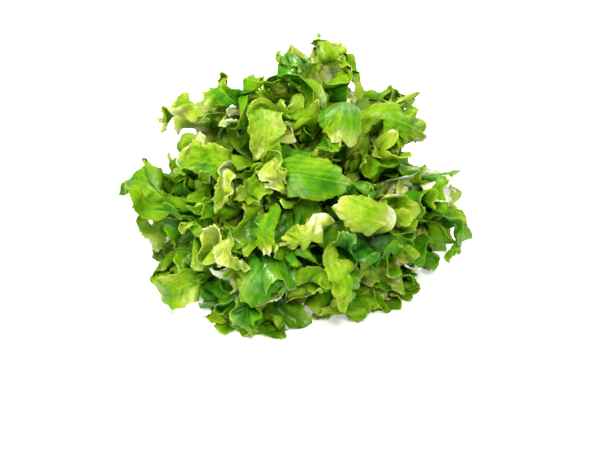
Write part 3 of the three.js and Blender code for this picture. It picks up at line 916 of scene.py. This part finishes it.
def leaf_material():
    """Endive leaf: tone runs from deep green (0) to blanched (1) and differs from leaf to leaf."""
    material = bpy.data.materials.new("endive_leaf")
    g = Graph(material)
    along, rim, tone, under = g.read("along"), g.read("rim"), g.read("tone"), g.read("under")
    x, y = g.read("plan_x"), g.read("plan_y")
    own = g.times(tone, LEAVES_APART)
    place = g.point(x, y, own)
    away = g.math("ABSOLUTE", x)
    # Side veins slant from the rib to the margin: 0 on a vein and 0.5 half way to the next
    wander = g.times(g.math("SUBTRACT", g.noise(place, 0.09), 0.5), VEIN_WANDER)
    lane = g.add(g.math("SUBTRACT", y, g.times(away, VEIN_SLANT)), wander)
    lane = g.math("PINGPONG", g.math("DIVIDE", lane, VEIN_SPACING), 0.5)
    vein = g.ramp(lane, 0, 0.07, 1, 0)
    # A net of fine veins between them
    cells = {"Vector": place, "Scale": 0.3, "Randomness": 0.9}
    cells = g.node("ShaderNodeTexVoronoi", cells, feature="DISTANCE_TO_EDGE").outputs["Distance"]
    net = g.ramp(cells, 0, 0.12, 1, 0)
    rib_wide = g.ramp(along, 0, 0.9, 5, 0.4)
    rib = g.ramp(g.math("DIVIDE", away, rib_wide), 0.5, 1.3, 1, 0)
    grain = g.noise(g.point(x, g.times(y, 0.1), own), 0.4, 3)
    mottle = g.ramp(g.noise(place, 0.035), 0.3, 0.7, -0.2, 0.15)
    # Pale patches at random: partly the leaf's own paler spots and partly a painted sheen
    patches = g.ramp(g.noise(place, 0.022, 1), 0.56, 0.72, 0, 0.22)
    streaks = g.ramp(grain, 0.3, 0.7, -0.1, 0.12)
    light = g.add(
        tone,
        mottle,
        g.add(streaks, patches),
        g.times(vein, 0.13),
        g.times(net, 0.04),
        g.times(rib, g.ramp(along, 0.3, 0.8, 0.6, 0.12)),
        g.ramp(along, 0.05, 0.36, 0.2, 0),  # the base is blanched
        g.ramp(along, 0.4, 0.85, -0.2, -0.04),  # painted shade: the blade, which lies deep among the other leaves, is darker than the tip
        g.ramp(rim, -0.9, 0.7, 0.22, 0),  # painted highlight: a fine pale line on the margin and its teeth, where light catches the edge
        g.ramp(rim, 0, 16, 0.12, -0.08),  # lighter towards the margin
        g.times(under, 0.12),  # the underside is paler
    )
    colour = g.colours(light, LEAF_COLOURS)
    through = g.blend(0.6, colour, LIGHT_THROUGH)

    pucker = g.math("POWER", g.times(lane, 2), 0.6)
    lumps = g.noise(place, 0.16, 3)
    height = g.add(g.times(pucker, 1.1), g.times(net, -0.16), g.times(lumps, 2.6), g.times(grain, 1.2))
    bump = g.bump(height, 0.5, 0.0013)
    rough = g.add(g.ramp(g.noise(place, 0.3), 0.3, 0.7, 0.27, 0.38), g.times(under, 0.15))
    surface = {
        "Base Color": colour,
        "Roughness": rough,
        "Normal": bump,
        "IOR": 1.6,
        "Specular IOR Level": g.ramp(g.noise(place, 0.05, 3), 0.5, 0.64, 0.05, 1),  # waxy patches
        "Specular Tint": (1, 1, 0.85, 1),
    }
    surface = g.node("ShaderNodeBsdfPrincipled", surface).outputs[0]
    lit = g.node("ShaderNodeBsdfTranslucent", {"Color": through, "Normal": bump}).outputs[0]
    shader = g.node("ShaderNodeMixShader", {0: SHARE_THROUGH, 1: surface, 2: lit}).outputs[0]
    g.node("ShaderNodeOutputMaterial", {0: shader})
    return material


def stem_material():
    """Pale green sides with fibres, and a cream cut face browned at its edge and in a ring."""
    material = bpy.data.materials.new("endive_stem")
    g = Graph(material)
    cut_face, out = g.read("cut_face"), g.read("out")
    place = g.point(g.read("plan_x"), g.read("plan_y"), g.times(g.read("high"), 0.15))
    fibres = g.noise(place, 0.9, 3)
    patches = g.noise(place, 0.16, 3)
    side = g.blend(g.ramp(fibres, 0.3, 0.7), *STEM_SIDE)
    pith = g.blend(g.ramp(patches, 0.3, 0.7), *STEM_PITH)
    ring = g.ramp(g.math("ABSOLUTE", g.math("SUBTRACT", out, BROWNED_RING)), 0, 0.08, 0.7, 0)
    ring = g.times(ring, g.ramp(fibres, 0.35, 0.6))
    edge = g.times(g.ramp(out, 0.88, 1), g.ramp(patches, 0.3, 0.6, 0.3, 0.9))
    pith = g.blend(g.math("MAXIMUM", ring, edge), pith, STEM_BROWNED)
    bump = g.bump(g.add(fibres, g.times(patches, 2)), 0.6, 0.0008)
    surface = {"Base Color": g.blend(cut_face, side, pith), "Roughness": 0.5, "Normal": bump, "IOR": 1.4}
    surface = g.node("ShaderNodeBsdfPrincipled", surface).outputs[0]
    g.node("ShaderNodeOutputMaterial", {0: surface})
    return material


# ---- the head

INNER_LEAVES_UP_TO = 0.75  # share of the sheets beyond which only the CAD model's leaves are kept
TONE_SHAPE, TONE_SPREAD, HEART_PALER, PALEST = (2.0, 2.8), 0.68, 0.1, 0.7
FRONT_BLANCHED = -0.4


def make_head():
    """All the leaves and the stem, riding on the one body."""
    points, flat = sheets()
    # A sheet with an even number stands in for a CAD leaf, in the same order
    kept = [k for k in range(len(points)) if k % 2 == 0 or k < INNER_LEAVES_UP_TO * len(points)]
    front_points, front_flat = front_leaves()
    points = np.concatenate([points[kept], front_points]).astype(np.float32)
    flat = np.concatenate([flat[kept], front_flat]).astype(np.float32)
    rim, arc = rim_places(flat)
    points = grow(points, flat, rim, arc)
    grown = np.concatenate([points, flat, rim[..., None], arc[..., None]], axis=-1)
    material = leaf_material()
    numbered = [(ring, n) for ring, count in RINGS for n in range(1, count + 1)]
    for k, sheet in zip(kept, grown):
        ring, n = numbered[k // 2]
        node = f"{ring}_leaf_{n:02d}"
        tone = TONES.beta(*TONE_SHAPE) * TONE_SPREAD + HEART_PALER * k / kept[-1]
        tone = float(np.clip(tone, 0, PALEST))
        name = node + "_skin" if k % 2 == 0 else f"{ring}_leaf_inner_{n:02d}"
        piece = make_leaf(name, sheet, tone, material)
        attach(piece, "root")
        if k % 2 == 0:
            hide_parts(node)
    for n, (front, sheet) in enumerate(zip(FRONT_LEAVES, grown[len(kept) :]), start=1):
        frilled, tone = front[-2:]
        piece = make_leaf(f"front_leaf_{n:02d}", sheet, tone, material, FRONT_BLANCHED, frilled)
        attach(piece, "root")
    stem = make_stem()
    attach(stem, "root")
    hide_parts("stem")


# ---- floor, lights and camera, in metres

PICTURE_WIDTH, PICTURE_HEIGHT = 600, 450  # pixels
BASE_PIXEL = (293, 265)  # where the middle of the cut face lies in the picture
PIXEL = 0.00087  # size of a pixel at the head
CAMERA_DISTANCE, SENSOR_WIDTH = 1.5, 36
FLOOR_SIZE, FLOOR_DROP, FLOOR_ROUGHNESS, FLOOR_GLOW = 8, 0.0002, 0.8, 0.4
FLOOR_COLOUR, ROOM_COLOUR, ROOM_STRENGTH = (0.9, 0.9, 0.9, 1), (0.75, 1, 0.85, 1), 0.6
# Soft lights: name, place, size and watts
LIGHTS = (
    ("key", (-0.5, -0.4, 1.45), 0.6, 38),
    ("fill", (0.2, -1.1, 1.1), 0.3, 18),
    ("back", (0.5, 1.2, 1.1), 0.5, 14),
)
LIGHT_COLOUR, LIGHTS_AIM_AT = (1, 0.93, 0.82), (0, 0, 0.08)


def add_floor():
    """A white floor that glows a little."""
    bpy.ops.mesh.primitive_plane_add(size=FLOOR_SIZE, location=(0, 0, -FLOOR_DROP))
    floor = bpy.context.object
    floor.name = "floor"
    white = bpy.data.materials.new("floor_white")
    white.use_nodes = True
    inputs = white.node_tree.nodes["Principled BSDF"].inputs
    inputs["Base Color"].default_value = FLOOR_COLOUR
    inputs["Roughness"].default_value = FLOOR_ROUGHNESS
    inputs["Emission Color"].default_value = (1, 1, 1, 1)
    inputs["Emission Strength"].default_value = FLOOR_GLOW
    floor.data.materials.append(white)


def add_lights():
    """A pale even room with three soft lights."""
    world = bpy.data.worlds.new("white_room")
    bpy.context.scene.world = world
    world.use_nodes = True
    inputs = world.node_tree.nodes["Background"].inputs
    inputs["Color"].default_value = ROOM_COLOUR
    inputs["Strength"].default_value = ROOM_STRENGTH
    for name, place, size, power in LIGHTS:
        data = bpy.data.lights.new(name, "AREA")
        data.size, data.energy, data.color = size, power, LIGHT_COLOUR
        light = add_object(name, data)
        light.location = place
        light.rotation_mode = "QUATERNION"
        light.rotation_quaternion = (Vector(LIGHTS_AIM_AT) - Vector(place)).to_track_quat("-Z", "Y")


def add_camera():
    """A camera at the photo's angle, with the head where the photo has it."""
    data = bpy.data.cameras.new("camera")
    camera = add_object("camera", data)
    bpy.context.scene.camera = camera
    data.sensor_width = SENSOR_WIDTH
    data.lens = SENSOR_WIDTH * CAMERA_DISTANCE / (PICTURE_WIDTH * PIXEL)
    near, up = Vector(VIEW_NEAR), Vector(VIEW_UP)
    right_of_base = (PICTURE_WIDTH / 2 - BASE_PIXEL[0]) * PIXEL
    above_base = (BASE_PIXEL[1] - PICTURE_HEIGHT / 2) * PIXEL
    camera.location = Vector((right_of_base, 0, 0)) + up * above_base + near * CAMERA_DISTANCE
    camera.rotation_mode = "QUATERNION"
    camera.rotation_quaternion = (-near).to_track_quat("-Z", "Y")


make_head()
bpy.context.scene.view_settings.view_transform = "Standard"
add_floor()
add_lights()
add_camera()
